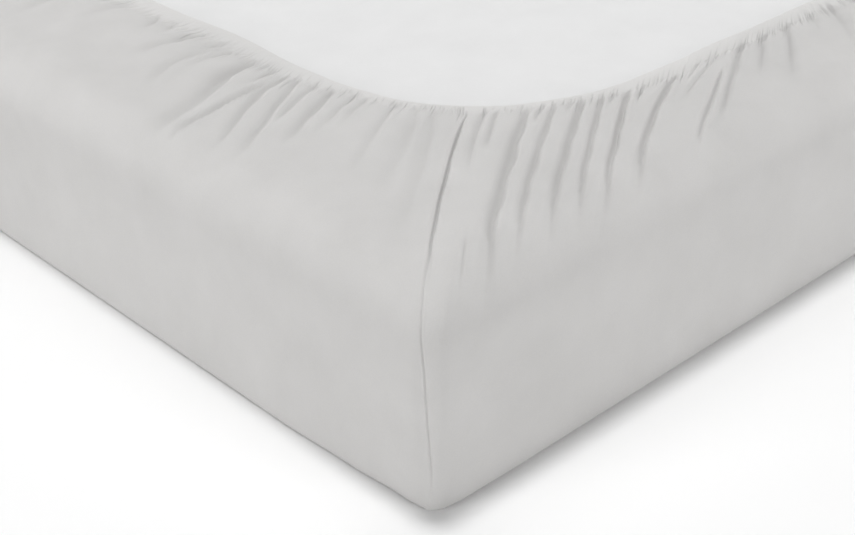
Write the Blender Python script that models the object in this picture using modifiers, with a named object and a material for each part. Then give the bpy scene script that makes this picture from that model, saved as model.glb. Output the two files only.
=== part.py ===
"""A fitted sheet stretched over a mattress that lies with its back up.

The sheet's main panel is underneath, on the floor. Its four sides come up the
mattress and return over the back, where the elastic hem gathers them in folds.
Metres, +Z up; X runs along the short sides, Y along the long sides, and the
origin is in the middle of the underside.
"""
import math
import random
from collections import namedtuple

import bmesh
import bpy

# ---------------------------------------------------------------- mattress
MATTRESS_WIDTH = 1.60
MATTRESS_LENGTH = 2.00
MATTRESS_HEIGHT = 0.20
CORNER_RADIUS = 0.018        # upright corners, in plan
BACK_EDGE_RADIUS = 0.047     # edge between the sides and the back, which is up
FRONT_EDGE_RADIUS = 0.010    # edge pressed on the floor
SIDE_BULGE = 0.0055          # the sides stand this much further out at the floor

# ---------------------------------------------------------------- cloth
CLOTH_THICKNESS = 0.0015
TOUCH_GAP = 0.0003           # mattress to the panel that it lies on
EDGE_CLEARANCE = 0.002       # cloth to mattress, round the sides and edges
FLOOR_EDGE_RADIUS = 0.007    # cloth's inner face, at the floor
PANEL_RING = 0.012           # flat border of the panel, inside that edge

# ---------------------------------------------------------------- elastic hem
HEM_INSET_LONG = 0.214       # from a long side of the mattress to the hem
HEM_INSET_SHORT = 0.159      # from a short side
HEM_CORNER_RADIUS = 0.207    # the hem rounds each corner in a wide arc
HEM_CASING = 0.012           # width of the casing that holds the elastic
HEM_GAP = 0.0005             # hem's inner face over the mattress
PUFF_HEIGHT = 0.0065         # gathered cloth over the mattress, between folds
PUFF_START = 0.22            # share of the way out where it is full
PUFF_END = 0.40              # and where it starts to settle
EDGE_PUFF = 0.0022           # more clearance where the back edge begins to round

# ---------------------------------------------------------------- folds
# Each row is one fold that runs out from the hem. hem and edge are where its
# line meets the hem and the mattress edge, in millimetres from the corner's
# middle: minus along the long side, plus along the short side. reach is how
# far it runs, as a share of the way from hem to edge; width and depth are in
# millimetres.
Fold = namedtuple("Fold", "hem edge reach width depth")
CORNER_FOLDS = (
    Fold(-730, -930, 0.30, 16, 2.5),
    Fold(-650, -850, 0.40, 18, 3.5),
    Fold(-575, -775, 0.28, 14, 2.5),
    Fold(-515, -715, 0.35, 16, 3.5),
    Fold(-435, -628, 0.32, 14, 3.5),
    Fold(-352, -538, 0.48, 14, 4.5),
    Fold(-295, -467, 0.55, 15, 3.5),
    Fold(-264, -400, 0.92, 20, 6.0),
    Fold(-232, -351, 0.86, 8, 3.8),
    Fold(-214, -311, 0.77, 10, 4.0),
    Fold(-196, -279, 0.70, 10, 4.2),
    Fold(-173, -255, 0.38, 9, 4.5),
    Fold(-147, -228, 0.52, 11, 6.0),
    Fold(-113, -187, 0.32, 9, 2.6),
    Fold(-80, -144, 0.55, 14, 2.8),
    Fold(-55, -104, 0.64, 14, 3.4),
    Fold(4, 5, 0.40, 8, 3.0),
    Fold(40, 51, 1.06, 13, 6.0),
    Fold(70, 83, 0.96, 13, 3.6),
    Fold(100, 118, 1.00, 11, 5.2),
    Fold(126, 152, 0.92, 9, 3.8),
    Fold(162, 189, 0.98, 10, 6.0),
    Fold(229, 238, 0.92, 13, 5.0),
    Fold(289, 283, 0.35, 10, 2.6),
    Fold(346, 331, 0.76, 13, 4.4),
    Fold(391, 398, 0.52, 14, 3.4),
    Fold(435, 480, 0.40, 15, 2.8),
    Fold(480, 580, 0.46, 16, 3.4),
    Fold(522, 690, 0.30, 14, 2.5),
)
CORNER_SEAM = Fold(-13, -11, 1.10, 7, 6.0)
MAIN_FOLD_DEPTH = 4.0        # the corners behind have the folds from this on
SHIFT = 7                    # and there each fold lies this much off, at most
SEED = 11

# ---------------------------------------------------------------- mesh rows
BACK_ROWS = (0.20, 0.42, 0.68, 1.00)       # shares of the way out to the edge
FOLDED_EDGE_TILTS = (22.5, 45.0)           # degrees round the back edge
PLAIN_EDGE_TILTS = (67.5, 90.0)            # and on, below the folds
FLOOR_TILTS = (90.0, 45.0, 0.0)            # degrees round the floor edge
MATTRESS_TILTS = (0.0, 22.5, 45.0, 67.5, 90.0)
CORNER_ARC_COLUMNS = (-14, -9, -5, 0, 5, 9, 14)      # mm from its middle
SIDE_COLUMNS = (60, 130, 250, 420)         # mm from it, both ways
COLUMN_SPACING = 3.0         # mm, least distance between two columns
CREST_SPACING = 26.0         # mm, a wider puff between folds gets a crest
MM = 0.001
SHARP_ANGLE = 40.0           # degrees; flatter edges are shaded smooth

HALF_WIDTH = MATTRESS_WIDTH / 2 / MM       # mm, as the columns' places are
HALF_LENGTH = MATTRESS_LENGTH / 2 / MM
PANEL_TOP = CLOTH_THICKNESS
MATTRESS_BOTTOM = PANEL_TOP + TOUCH_GAP
MATTRESS_TOP = MATTRESS_BOTTOM + MATTRESS_HEIGHT

# A column of the mesh runs along one line from the hem out to the edge, and
# then down the side. It is in the trough of a fold, or fold is None.
Column = namedtuple("Column", "hem edge fold to_floor")

# Each corner's signs in X and Y, in the order that goes round the mattress.
# A corner in between is a mirror image, so its columns run the other way.
CORNERS = ((-1, -1, False), (1, -1, True), (1, 1, False), (-1, 1, True))


def smoothstep(share):
    share = min(max(share, 0.0), 1.0)
    return share * share * (3.0 - 2.0 * share)


def rounded_corner(position, inset_long, inset_short, radius):
    """Point at a distance along a rounded corner, as its distances from the
    mattress's short side and long side. Minus is along the long side."""
    half_arc = radius * math.pi / 4
    beyond = max(abs(position) - half_arc, 0.0)
    turn = math.pi / 4 + min(max(position, -half_arc), half_arc) / radius
    from_short = inset_short + radius * (1.0 - math.sin(turn))
    from_long = inset_long + radius * (1.0 - math.cos(turn))
    if position < 0:
        return from_short + beyond, from_long
    return from_short, from_long + beyond


def column_ends(column):
    """The column's hem point and edge point, and the hem's distance in from
    the mattress's edge there."""
    hem = rounded_corner(
        column.hem * MM, HEM_INSET_LONG, HEM_INSET_SHORT, HEM_CORNER_RADIUS)
    edge = rounded_corner(column.edge * MM, 0.0, 0.0, CORNER_RADIUS)
    return hem, edge, min(hem)


def point_along(column, share):
    """Plan point at a share of the way from the hem to the edge."""
    hem, edge, _ = column_ends(column)
    return tuple(h + (e - h) * share for h, e in zip(hem, edge))


def share_at_inset(column, inset):
    """Share of the way out where the column is this far in from the edge."""
    return 1.0 - inset / column_ends(column)[2]


def to_world(point, corner, z):
    sign_x, sign_y, _ = corner
    from_short, from_long = point
    return (sign_x * (MATTRESS_WIDTH / 2 - from_long),
            sign_y * (MATTRESS_LENGTH / 2 - from_short), z)


# ---------------------------------------------------------------- columns
def corner_folds(corner_index):
    """The folds of one corner. The corners behind have the main ones only,
    each a little off the place and depth that it has in front."""
    if corner_index == 0:
        return CORNER_FOLDS + (CORNER_SEAM,)
    chance = random.Random(SEED + corner_index)
    folds = []
    for fold in CORNER_FOLDS:
        off = chance.uniform(-SHIFT, SHIFT)
        deeper = chance.uniform(0.8, 1.2)
        if fold.depth >= MAIN_FOLD_DEPTH:
            folds.append(fold._replace(
                hem=fold.hem + off, edge=fold.edge + off, depth=fold.depth * deeper))
    return tuple(folds) + (CORNER_SEAM,)


def hem_for_edge(edge, folds):
    """Where a line that meets the edge here meets the hem, read between the
    two folds beside it."""
    sides = [(fold.edge, fold.hem) for fold in folds]
    sides.append((-HALF_LENGTH, -middle_of_hem(HALF_LENGTH, HEM_INSET_SHORT)))
    sides.append((HALF_WIDTH, middle_of_hem(HALF_WIDTH, HEM_INSET_LONG)))
    sides.sort()
    for (edge_0, hem_0), (edge_1, hem_1) in zip(sides, sides[1:]):
        if edge <= edge_1:
            break
    return hem_0 + (hem_1 - hem_0) * (edge - edge_0) / (edge_1 - edge_0)


def middle_of_hem(half_side, inset):
    """Distance along the hem from a corner's middle to the side's middle, mm."""
    arc_saves = HEM_CORNER_RADIUS * (1.0 - math.pi / 4)
    return half_side - (inset + arc_saves) / MM


def corner_and_side_places():
    """Places along the edge that every corner has a column at, folds or not."""
    long_side = tuple(-distance for distance in reversed(SIDE_COLUMNS))
    return long_side + CORNER_ARC_COLUMNS + SIDE_COLUMNS


def corner_columns(corner_index):
    """The columns of one corner, from the middle of its long side to just
    before the middle of its short side."""
    folds = sorted(corner_folds(corner_index), key=lambda fold: fold.edge)
    columns = []
    for fold in folds:
        half = fold.width / 2
        columns.append(Column(fold.hem - half, fold.edge - half, None, False))
        columns.append(Column(fold.hem, fold.edge, fold, True))
        columns.append(Column(fold.hem + half, fold.edge + half, None, False))
    for edge in (-HALF_LENGTH,) + corner_and_side_places():
        gaps = [abs(edge - column.edge) for column in columns]
        if min(gaps) > COLUMN_SPACING:
            columns.append(Column(hem_for_edge(edge, folds), edge, None, True))
    columns.sort(key=lambda column: column.edge)
    crests = []
    for left, right in zip(columns, columns[1:]):
        if right.edge - left.edge > CREST_SPACING and not (left.fold or right.fold):
            crests.append(Column((left.hem + right.hem) / 2,
                                 (left.edge + right.edge) / 2, None, True))
    columns = sorted(columns + crests, key=lambda column: column.edge)
    tidy = [columns[0]]
    for column in columns[1:]:
        clear = (column.edge - tidy[-1].edge >= COLUMN_SPACING
                 and column.hem - tidy[-1].hem >= COLUMN_SPACING)
        if clear:
            tidy.append(column)
        elif column.fold:
            tidy[-1] = column
    return tidy


def ring_columns():
    """Every column, once round the mattress, each with its corner."""
    middle_of_short = Column(middle_of_hem(HALF_WIDTH, HEM_INSET_LONG), HALF_WIDTH, None, True)
    ring = []
    for index, corner in enumerate(CORNERS):
        columns = corner_columns(index)
        if corner[2]:
            columns = [middle_of_short] + columns[:0:-1]
        ring += [(column, corner) for column in columns]
    return ring


# ---------------------------------------------------------------- heights
def puff(share):
    """Height of the cloth's inner face over the mattress, between folds."""
    rise = HEM_GAP + (PUFF_HEIGHT - HEM_GAP) * smoothstep(share / PUFF_START)
    settled = smoothstep((share - PUFF_END) / (1.0 - PUFF_END))
    return rise + (EDGE_CLEARANCE + EDGE_PUFF - PUFF_HEIGHT) * settled


def trough_depth(fold, share):
    """How far a fold draws the cloth in at this share of the way out."""
    if fold is None or share >= fold.reach:
        return 0.0
    return fold.depth * MM * (1.0 - (share / fold.reach) ** 3)


def back_height(column, share, out_share):
    """Height over the mattress's back. out_share is the share of the way to
    the rounded edge, and share that to the mattress's outline."""
    height = puff(out_share)
    return max(height - trough_depth(column.fold, share), min(height, HEM_GAP))


# ---------------------------------------------------------------- meshes
def add_row(mesh, ring, place):
    """One vertex for each column. place gives its plan point and height."""
    row = []
    for column, corner in ring:
        point, z = place(column)
        row.append(mesh.verts.new(to_world(point, corner, z)))
    return row


def join_rows(mesh, inner, outer):
    """Faces between two rows with the same columns."""
    count = len(inner)
    for index in range(count):
        following = (index + 1) % count
        mesh.faces.new((inner[index], outer[index], outer[following], inner[following]))


def join_to_fewer(mesh, inner, outer, kept):
    """Faces from a full row to a row that has only the kept columns."""
    count = len(inner)
    for place, index in enumerate(kept):
        following = kept[(place + 1) % len(kept)]
        span = (following - index) % count
        run = [inner[(index + step) % count] for step in range(span + 1)]
        mesh.faces.new([outer[place]] + [outer[(place + 1) % len(kept)]] + run[::-1])


def finish_object(name, mesh, material, collection):
    bmesh.ops.recalc_face_normals(mesh, faces=mesh.faces)
    data = bpy.data.meshes.new(name)
    mesh.to_mesh(data)
    mesh.free()
    data.materials.append(material)
    data.shade_smooth()
    data.set_sharp_from_angle(angle=math.radians(SHARP_ANGLE))
    thing = bpy.data.objects.new(name, data)
    collection.objects.link(thing)
    return thing


def back_edge_row(clearance, tilt):
    """Row round the edge of the back: inset from the outline, and height."""
    angle = math.radians(tilt)
    radius = BACK_EDGE_RADIUS + clearance
    inset = BACK_EDGE_RADIUS - radius * math.sin(angle)
    return inset, MATTRESS_TOP - BACK_EDGE_RADIUS + radius * math.cos(angle)


def edge_clearance(tilt):
    """The cloth stands off the edge a little more where its folds run out."""
    return EDGE_CLEARANCE + EDGE_PUFF * (1.0 - tilt / 90.0)


def floor_edge_row(radius, outset, bottom, tilt):
    """Row round the edge at the floor: inset from the outline, and height."""
    angle = math.radians(tilt)
    inset = radius * (1.0 - math.sin(angle)) - outset
    return inset, bottom + radius * (1.0 - math.cos(angle))


def folded_edge_place(tilt):
    """Placing for a row round the back edge, where the longest folds fade out."""
    clearance = edge_clearance(tilt)
    plain_inset, _ = back_edge_row(clearance, tilt)
    left = 1.0 - tilt / PLAIN_EDGE_TILTS[0]

    def place(column):
        depth = left * trough_depth(column.fold, share_at_inset(column, plain_inset))
        inset, z = back_edge_row(max(clearance - depth, HEM_GAP), tilt)
        return point_along(column, share_at_inset(column, inset)), z
    return place


def inset_place(inset, z):
    """Placing for a row at one inset and one height all round."""
    return lambda column: (point_along(column, share_at_inset(column, inset)), z)


def build_sheet(material, collection):
    """The cloth's inner face, from the hem out over the edge, down the sides
    and across the panel underneath. Solidify gives it its thickness."""
    ring = ring_columns()
    mesh = bmesh.new()

    def back_place(out_share):
        def place(column):
            share = out_share * share_at_inset(column, BACK_EDGE_RADIUS)
            z = MATTRESS_TOP + back_height(column, share, out_share)
            return point_along(column, share), z
        return place

    def casing_place(column):
        hem, edge, _ = column_ends(column)
        return back_place(HEM_CASING / math.dist(hem, edge))(column)

    rows = [add_row(mesh, ring, back_place(0.0)), add_row(mesh, ring, casing_place)]
    rows += [add_row(mesh, ring, back_place(share)) for share in BACK_ROWS]

    rows += [add_row(mesh, ring, folded_edge_place(tilt)) for tilt in FOLDED_EDGE_TILTS]
    for inner, outer in zip(rows, rows[1:]):
        join_rows(mesh, inner, outer)

    kept = [index for index, (column, _) in enumerate(ring) if column.to_floor]
    few = [ring[index] for index in kept]
    lower = []
    for tilt in PLAIN_EDGE_TILTS:
        lower.append(inset_place(*back_edge_row(edge_clearance(tilt), tilt)))
    outset = EDGE_CLEARANCE + SIDE_BULGE
    for tilt in FLOOR_TILTS:
        lower.append(inset_place(
            *floor_edge_row(FLOOR_EDGE_RADIUS, outset, PANEL_TOP, tilt)))
    panel_inset = FLOOR_EDGE_RADIUS - outset + PANEL_RING
    lower.append(inset_place(panel_inset, PANEL_TOP))
    lower_rows = [add_row(mesh, few, place) for place in lower]
    join_to_fewer(mesh, rows[-1], lower_rows[0], kept)
    for inner, outer in zip(lower_rows, lower_rows[1:]):
        join_rows(mesh, inner, outer)
    mesh.faces.new(lower_rows[-1])

    sheet = finish_object("fitted_sheet", mesh, material, collection)
    cloth = sheet.modifiers.new("cloth thickness", "SOLIDIFY")
    cloth.thickness = CLOTH_THICKNESS
    cloth.offset = 1.0
    cloth.use_even_offset = True
    return sheet


def build_mattress(material, collection):
    """A plain block with rounded corners and edges, inside the sheet."""
    ring = []
    for corner in CORNERS:
        columns = [Column(hem_for_edge(edge, CORNER_FOLDS), edge, None, True)
                   for edge in corner_and_side_places()]
        ring += [(column, corner) for column in (columns[::-1] if corner[2] else columns)]
    mesh = bmesh.new()
    rows = []
    for tilt in MATTRESS_TILTS:
        rows.append(add_row(mesh, ring, inset_place(*back_edge_row(0.0, tilt))))
    for tilt in MATTRESS_TILTS[::-1]:
        rows.append(add_row(mesh, ring, inset_place(
            *floor_edge_row(FRONT_EDGE_RADIUS, SIDE_BULGE, MATTRESS_BOTTOM, tilt))))
    mesh.faces.new(rows[0])
    mesh.faces.new(rows[-1])
    for inner, outer in zip(rows, rows[1:]):
        join_rows(mesh, inner, outer)
    return finish_object("mattress", mesh, material, collection)


def plain_material(name, color, roughness):
    material = bpy.data.materials.new(name)
    material.use_nodes = True
    shader = material.node_tree.nodes["Principled BSDF"]
    shader.inputs["Base Color"].default_value = (*color, 1.0)
    shader.inputs["Roughness"].default_value = roughness
    shader.inputs["Metallic"].default_value = 0.0
    return material


def main():
    for thing in list(bpy.data.objects):
        bpy.data.objects.remove(thing)
    collection = bpy.data.collections.new("fitted_sheet_on_mattress")
    bpy.context.scene.collection.children.link(collection)
    build_sheet(plain_material("grey jersey", (0.58, 0.575, 0.565), 0.9), collection)
    build_mattress(plain_material("white ticking", (0.84, 0.84, 0.835), 0.85), collection)


main()
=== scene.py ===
"""A light grey jersey fitted sheet on a mattress that lies with its back up.

The sheet's panel is underneath. Its sides come up the mattress and return over
the back, where the elastic in the hem gathers them in folds. Metres, +Z up; X
runs along the short sides, Y along the long sides.
"""
import math
import random
from collections import namedtuple
from functools import partial

import bmesh
import bpy
import numpy as np
from mathutils import Matrix, Vector


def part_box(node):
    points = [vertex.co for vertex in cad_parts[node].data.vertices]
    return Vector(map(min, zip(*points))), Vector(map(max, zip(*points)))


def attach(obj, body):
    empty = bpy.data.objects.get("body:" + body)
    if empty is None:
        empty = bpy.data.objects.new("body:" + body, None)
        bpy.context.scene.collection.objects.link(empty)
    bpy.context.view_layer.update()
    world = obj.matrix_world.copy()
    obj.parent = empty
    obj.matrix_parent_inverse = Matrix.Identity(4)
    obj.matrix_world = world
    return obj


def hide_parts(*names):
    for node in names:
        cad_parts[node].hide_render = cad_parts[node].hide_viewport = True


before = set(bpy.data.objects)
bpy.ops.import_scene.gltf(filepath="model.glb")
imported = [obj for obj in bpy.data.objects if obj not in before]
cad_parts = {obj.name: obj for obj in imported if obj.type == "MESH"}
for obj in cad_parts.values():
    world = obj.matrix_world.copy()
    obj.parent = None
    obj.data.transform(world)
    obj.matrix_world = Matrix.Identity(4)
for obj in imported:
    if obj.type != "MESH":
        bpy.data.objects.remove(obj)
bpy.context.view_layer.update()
MATTRESS_LOW, MATTRESS_HIGH = (Vector(end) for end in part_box("mattress"))
MM = 0.001

# ---------------------------------------- mattress
MATTRESS_BULGE = 0.0055      # its sides stand this much further out at the floor
HALF_WIDTH = MATTRESS_HIGH.x - MATTRESS_BULGE
HALF_LENGTH = MATTRESS_HIGH.y - MATTRESS_BULGE
BACK = MATTRESS_HIGH.z       # height of its back, which is up
EDGE_RADIUS = 0.047          # edge between the sides and the back
UNDERSIDE_RADIUS = 0.010     # edge between the sides and the underside
MATTRESS_CORNER = 0.056      # radius of its upright corners, in plan
EDGE_SEGMENTS, UNDERSIDE_SEGMENTS, CORNER_SEGMENTS = 7, 3, 8
MATTRESS_GRID = 0.03         # spacing of the lines that divide its faces
GRID_MARGIN = 0.01           # they keep this far off the round corners
BACK_CROWN = 0.004           # the bare back swells this much
BACK_UNEVEN = 0.0009         # and is uneven by about this much
SWELL_RUN = 0.3              # from the hem to where it has swelled all the way

# ---------------------------------------- cloth
# Each line of the cloth leads from the hem out over the back, round the edge,
# down the side and under. way is 0 at the hem, and then:
EDGE_WAY = 1.0               # where the back begins to round
SIDE_WAY = 2.0               # the top of the side
FLOOR_WAY = 3.0              # the foot of the side
UNDER_WAY = 4.0              # the start of the panel underneath, whose border ends at 5

CLOTH_THICKNESS = 0.0012
CORNER_RADIUS = 0.018        # of the cloth's upright corners, in plan
SIDE_OFF = 0.0035            # outer face of the cloth, out from the mattress's side
EDGE_OFF = 0.0057            # and where the back begins to round
FLOOR_RADIUS = 0.0030        # edge of the cloth on the floor
PANEL_BORDER = 0.012         # flat border of the panel, inside that edge
# Line, and how much further out the side stands there at the floor, mm
BULGE = ((-180, 8.4), (-90, 5.2), (-30, 0.8), (0, 1.8), (40, 4.8), (90, 5.6))
FLARE = 1.9                  # a power that keeps most of that low down
FLARE_RUN = 0.95             # way from the top of the side to the whole of it
PUFF = 0.0112                # gathered cloth's outer face, over the mattress's back
PUFF_RUN = 0.048             # from the stitch line out to there
PUFF_RISES = 0.7             # a power that makes it rise early
SETTLE_FROM = 0.40           # way where it starts to settle down to the edge
LEAST_OFF = 0.0016           # the deepest fold still lies this far off the back

# ---------------------------------------- hem
HEM_INSET_LONG = 0.214       # from a long side of the mattress to the hem
HEM_INSET_SHORT = 0.159      # from a short side
HEM_RADIUS = 0.207           # the hem rounds each corner in a wide arc
# Place on the hem, and how much further in it is there, mm
HEM_WANDERS = (
    (-700, 0), (-560, 1), (-420, -1.5), (-310, 3.4), (-210, -3.4), (-120, -2.8), (-65, -6),
    (15, -4.6), (80, -0.8), (150, -0.2), (200, -0.6), (243, -1.4), (283, 1.6), (370, 0.5),
    (450, 2), (520, 0))
# Place on the hem, and its casing's width there, from its edge to the stitch line, mm
CASING_WIDTH = (
    (-215, 28), (-165, 20.5), (-110, 14.5), (-60, 11.5), (30, 11), (85, 12.5), (130, 16),
    (175, 22), (240, 27), (520, 28))
STITCH_LINE = 0.0160         # the width that the casing's section is drawn for
# The section, turned-in layer first: out from the hem's edge, and off the back, mm
CASING_SECTION = (
    (15.0, 0.8), (5.0, 0.7), (0.8, 0.9), (0.0, 2.0), (0.4, 3.4), (1.8, 5.0),
    (5.0, 6.4), (9.5, 7.0), (13.5, 7.0), (16.0, 6.8))
HEM_EDGE_ROW = 3             # of the section's points, the one on the hem's edge
CASING_STEPS = [math.dist(*pair) * MM for pair in zip(CASING_SECTION, CASING_SECTION[1:])]
CASING_CLOTH = sum(CASING_STEPS[HEM_EDGE_ROW:])          # from there to the stitch line

# ---------------------------------------- folds
# Straight lines lead over the back from the hem out to the edge. Each pair is
# where one meets the edge and the hem, in mm from the corner's middle: minus
# along the long side, plus along the short side.
FAN = ((-930, -730), (-775, -575), (-628, -435), (-538, -352), (-400, -264),
       (-311, -214), (-228, -147), (-144, -80), (-104, -55), (-11, -13), (5, 4), (51, 40),
       (83, 70), (118, 100), (152, 126), (189, 162), (238, 229), (283, 289), (331, 346),
       (398, 391), (480, 435), (580, 480), (690, 522))

# A fold is a shaded slope with a steep wall beside it. The slope runs through
# three places, each a way and a line, which is given by its place on the edge
# in mm. The slope's width and the fold's depth are in mm, too.
Fold = namedtuple("Fold", "start start_at middle middle_at end end_at width depth")
FOLDS = (
    Fold(0.06, -935, 0.30, -938, 0.70, -944, 15, 2.8),
    Fold(0.06, -858, 0.45, -866, 1.00, -868, 17, 3.8),
    Fold(0.08, -790, 0.25, -792, 0.55, -788, 12, 2.6),
    Fold(0.06, -724, 0.40, -733, 0.90, -728, 16, 3.8),
    Fold(0.06, -655, 0.30, -660, 0.62, -664, 12, 2.8),
    Fold(0.14, -608, 0.26, -595, 0.40, -580, 9, 3.6),
    Fold(0.12, -580, 0.25, -567, 0.38, -553, 9, 3.2),
    Fold(0.10, -516, 0.24, -517, 0.42, -522, 10, 5.2),
    Fold(0.26, -522, 0.43, -529, 0.70, -539, 14, 3.6),
    Fold(0.10, -464, 0.27, -471, 0.44, -481, 12, 3.8),
    Fold(0.22, -438, 0.50, -467, 0.90, -450, 9, 3.5),
    Fold(0.22, -429, 0.38, -438, 0.54, -450, 9, 3.2),
    Fold(0.10, -410, 0.21, -421, 0.32, -438, 8, 3.4),
    Fold(0.09, -378, 0.34, -390, 0.74, -388, 18, 6.2),
    Fold(0.28, -389, 0.72, -383, 1.40, -387, 19, 4.0),
    Fold(0.10, -329, 0.26, -335, 0.44, -338, 8, 3.4),
    Fold(0.34, -310, 0.77, -343, 1.34, -359, 6, 5.0),
    Fold(0.07, -295, 0.50, -309, 1.12, -293, 10, 4.2),
    Fold(0.07, -287, 0.50, -277, 1.08, -268, 10, 4.0),
    Fold(0.07, -256, 0.35, -258, 0.70, -261, 9, 3.8),
    Fold(0.07, -230, 0.40, -230, 0.78, -234, 12, 5.2),
    Fold(0.07, -196, 0.32, -200, 0.60, -206, 8, 2.2),
    Fold(0.06, -180, 0.22, -182, 0.44, -185, 7, 2.3),
    Fold(0.09, -143, 0.45, -143, 0.80, -137, 11, 2.0),
    Fold(0.07, -109, 0.45, -97, 0.95, -98, 15, 1.8),
    Fold(0.07, -75, 0.50, -62, 1.20, -58, 17, 2.0),
    Fold(0.05, 8, 0.30, 1, 0.62, 4, 9, 3.0),
    Fold(0.05, 22, 0.22, 18, 0.44, 19, 7, 3.0),
    Fold(1.00, 18, 1.22, 18, 1.50, 19, 6, 1.8),
    Fold(0.03, 60, 0.60, 45, 1.76, 48, 17, 5.6),
    Fold(0.05, 76, 0.16, 71, 0.31, 68, 6, 2.6),
    Fold(0.05, 90, 0.60, 77, 1.56, 79, 13, 4.0),
    Fold(0.06, 113, 0.14, 109, 0.25, 106, 5, 2.6),
    Fold(0.05, 127, 0.70, 113, 1.54, 118, 15, 4.8),
    Fold(0.05, 158, 0.65, 148, 1.48, 155, 12, 4.0),
    Fold(0.08, 173, 0.20, 168, 0.33, 165, 6, 2.6),
    Fold(0.03, 195, 0.70, 185, 1.56, 183, 13, 5.6),
    Fold(0.12, 214, 0.26, 208, 0.44, 203, 7, 3.0),
    Fold(0.08, 262, 0.67, 228, 1.50, 231, 15, 5.4),
    Fold(0.20, 277, 0.32, 273, 0.46, 267, 6, 2.6),
    Fold(0.30, 303, 0.45, 285, 0.66, 265, 10, 2.4),
    Fold(0.50, 320, 0.90, 309, 1.35, 297, 10, 3.2),
    Fold(0.05, 355, 0.50, 338, 1.20, 332, 12, 4.4),
    Fold(0.06, 404, 0.35, 396, 0.85, 392, 14, 3.4),
    Fold(0.05, 470, 0.40, 462, 1.10, 470, 15, 4.2),
    Fold(0.06, 545, 0.30, 541, 0.65, 540, 12, 2.8),
    Fold(0.05, 612, 0.45, 604, 1.05, 610, 16, 4.0),
    Fold(0.06, 705, 0.35, 700, 0.80, 704, 14, 3.0),
)
FOLD_SETS_IN = 0.10          # share of a fold's run over which it deepens
FOLD_WIDENS = 0.30           # and over which its slope widens
FIRST_WIDTH = 0.45           # share of its width that the slope starts with
FOLD_WAVERS = 0.4            # mm to either side
LONG_WAVE, SHORT_WAVE = 19.0, 33.0           # of its wavering, radians for each 1 of way
FOLD_UNEVEN = 0.12           # share by which its width changes on the way
WIDTH_WAVE = 24.0            # radians for each 1 of way
WALL = 0.36                  # the steep wall of a fold, as a share of the slope
WALL_EASES = 1.5             # share by which the wall is wider at the fold's end
CREST = 0.16                 # height of the crests beside a fold, as a share of its depth
SLOPE_CREST = (1.6, 0.7)     # place and half-width of the crest by the slope, in its widths
WALL_CREST = (2.2, 1.2)      # and of the crest by the wall, in the wall's
FULL_SHADE = 40.0            # mm, a fold this deep would have the full painted shade
SHADE_FROM = 0.4             # share of a fold's depth from which its trough has its painted shade
FOLD_LEAST = 0.12            # share of its depth that a fold has at the stitch line
FOLD_RAMP = 0.013            # from there out to its whole depth

# The other corners have the same kinds of fold, each a little different.
SHIFT = 12                   # mm that a fold lies off, at most
REACHES = (0.85, 1.1)        # share of its run, least and most
DEPTHS = (0.7, 1.25)         # share of its depth
LEAST_END = 0.05             # way from its middle to its end, at least
FIRST_SEED = 40              # of the first corner's chances; the next have 41, 42 and 43

# Fine gathers below the casing, least and most
NEAR_GATHERS = ((5.5, 11.0), (1.8, 2.8))     # in front: spacing and half-width, mm
FAR_GATHERS = ((9.0, 18.0), (3.6, 5.0))      # at the other corners
GATHER_DEPTHS = (0.25, 1.0)  # share of the deepest one's depth
GATHER_POWER = 1.5           # the share is raised to it, so that most gathers are low
DEEPEST_GATHER = 2.2         # mm
GATHER_LENGTHS = (12.0, 18.0)        # mm
DEEPEST_LONGER = 18.0        # mm that the deepest may be longer
GATHER_SHADE = 3.0           # painted shade of a fine gather, as a multiple of a fold's
ON_CASING = 0.08             # share of a gather's depth that it has on the casing
GATHER_BEGINS = 0.003        # from the hem's edge out to where it has that
GATHER_DEEPENS = 0.007       # from the stitch line out to its whole depth
GATHER_FADES = 0.004         # it has faded out this far past its length
GATHER_SPAN = 2.6            # half-widths to either side that it is worked out for

# The corner seam: where it runs, by way and by line, mm
SEAM = ((0.0, -12), (0.11, -8), (0.41, -12.6), (0.76, -14), (1.16, -10), (1.9, -8), (2.15, -5),
        (2.42, -3), (2.75, 0.5), (3.0, 1), (5.0, 1))
SEAM_LINE = -9               # mm, the line whose columns follow it
SEAM_PULLS = 0.022           # cloth this near follows the seam
SEAM_FOLD = Fold(0.03, 0, 0.5, 0, 1.35, 0, 3.4, 3.8)
SEAM_SHADE = 6.2             # painted shade in its crease, as a multiple of a fold's
SEAM_GROOVE = (0.0013, 0.0009)       # half its width, and its depth
GROOVE_BEGINS = (0.9, 0.4)   # way where it begins, and over which it deepens
GROOVE_ENDS = (2.85, 0.15)   # way where it starts to fade, and over which it does
SEAM_COLUMNS = (-3.0, -1.6, -0.8, 0.0, 0.8, 1.6, 3.0)    # mm from it

# ---------------------------------------- rows and columns
BELOW_CASING = (17.2, 19.2, 22.0, 25.5, 30.0, 36.0)      # mm, rows of fine gathers
BACK_STEPS = 17              # rows from there out to the rounded edge
EDGE_STEPS = 6               # rows round the edge
SIDE_WAYS = (2.15, 2.35, 2.55, 2.75, 2.92, 3.0)
FLOOR_WAYS = (3.34, 3.67, 4.0, 5.0)
HEM_ROWS = len(CASING_SECTION) + len(BELOW_CASING)
LAST_FOLDED = HEM_ROWS + BACK_STEPS + EDGE_STEPS - 1
LAST_ROW = LAST_FOLDED + len(SIDE_WAYS) + len(FLOOR_WAYS)
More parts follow.
